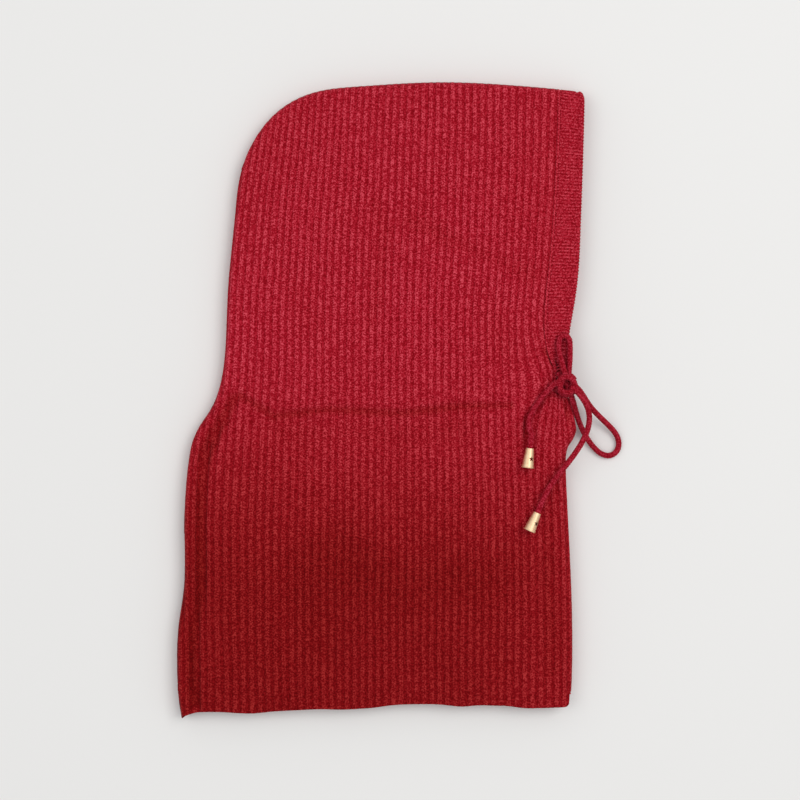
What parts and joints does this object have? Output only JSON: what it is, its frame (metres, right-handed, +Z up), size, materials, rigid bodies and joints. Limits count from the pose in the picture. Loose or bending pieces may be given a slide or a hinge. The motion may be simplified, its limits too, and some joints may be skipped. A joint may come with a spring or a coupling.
{
  "type": "hooded knit snood",
  "caption": "Hooded rib-knit snood lying flat, with a banded face opening, a bow-tied drawcord and pierced metal bell cord ends.",
  "frame": {"origin": "on the surface that the snood lies on, under the middle of the knit body's outline", "axes": "+Y from the hem to the crown, +X from the back of the head to the face opening, +Z up, from the wearer's left side, which is underneath, to the right side"},
  "size_m": [0.316, 0.45, 0.0268],
  "materials": {
    "rib_knit": "soft matte wool-blend rib knit",
    "band_knit": "finer knit, stitches running across the band",
    "linking_yarn": "linked seam in the same yarn",
    "knitted_cord": "round knitted cord in the same yarn",
    "pale_gold_metal": "polished pale gold plating"
  },
  "bodies": {
    "root": {"right_side_panel": "rib_knit", "left_side_panel": "rib_knit", "crown_and_back_seam": "linking_yarn", "front_neck_seam": "linking_yarn", "face_band": "band_knit", "face_band_seam": "linking_yarn", "drawcord_channel_run": "knitted_cord", "drawcord_big_loop": "knitted_cord", "drawcord_small_loop": "knitted_cord", "drawcord_tail_upper": "knitted_cord", "drawcord_tail_lower": "knitted_cord", "bow_knot": "knitted_cord", "stop_knot_upper": "knitted_cord", "stop_knot_lower": "knitted_cord"},
    "upper_bell": {"cord_end_bell_upper": "pale_gold_metal"},
    "lower_bell": {"cord_end_bell_lower": "pale_gold_metal"}
  },
  "joints": [
    {"name": "upper_bell_slide", "type": "slide", "parent": "root", "child": "upper_bell", "axis": [0.1219, 0.9925, 0], "range_m": [0, 0.008]},
    {"name": "lower_bell_slide", "type": "slide", "parent": "root", "child": "lower_bell", "axis": [0.4019, 0.9157, 0], "range_m": [0, 0.012]}
  ]
}
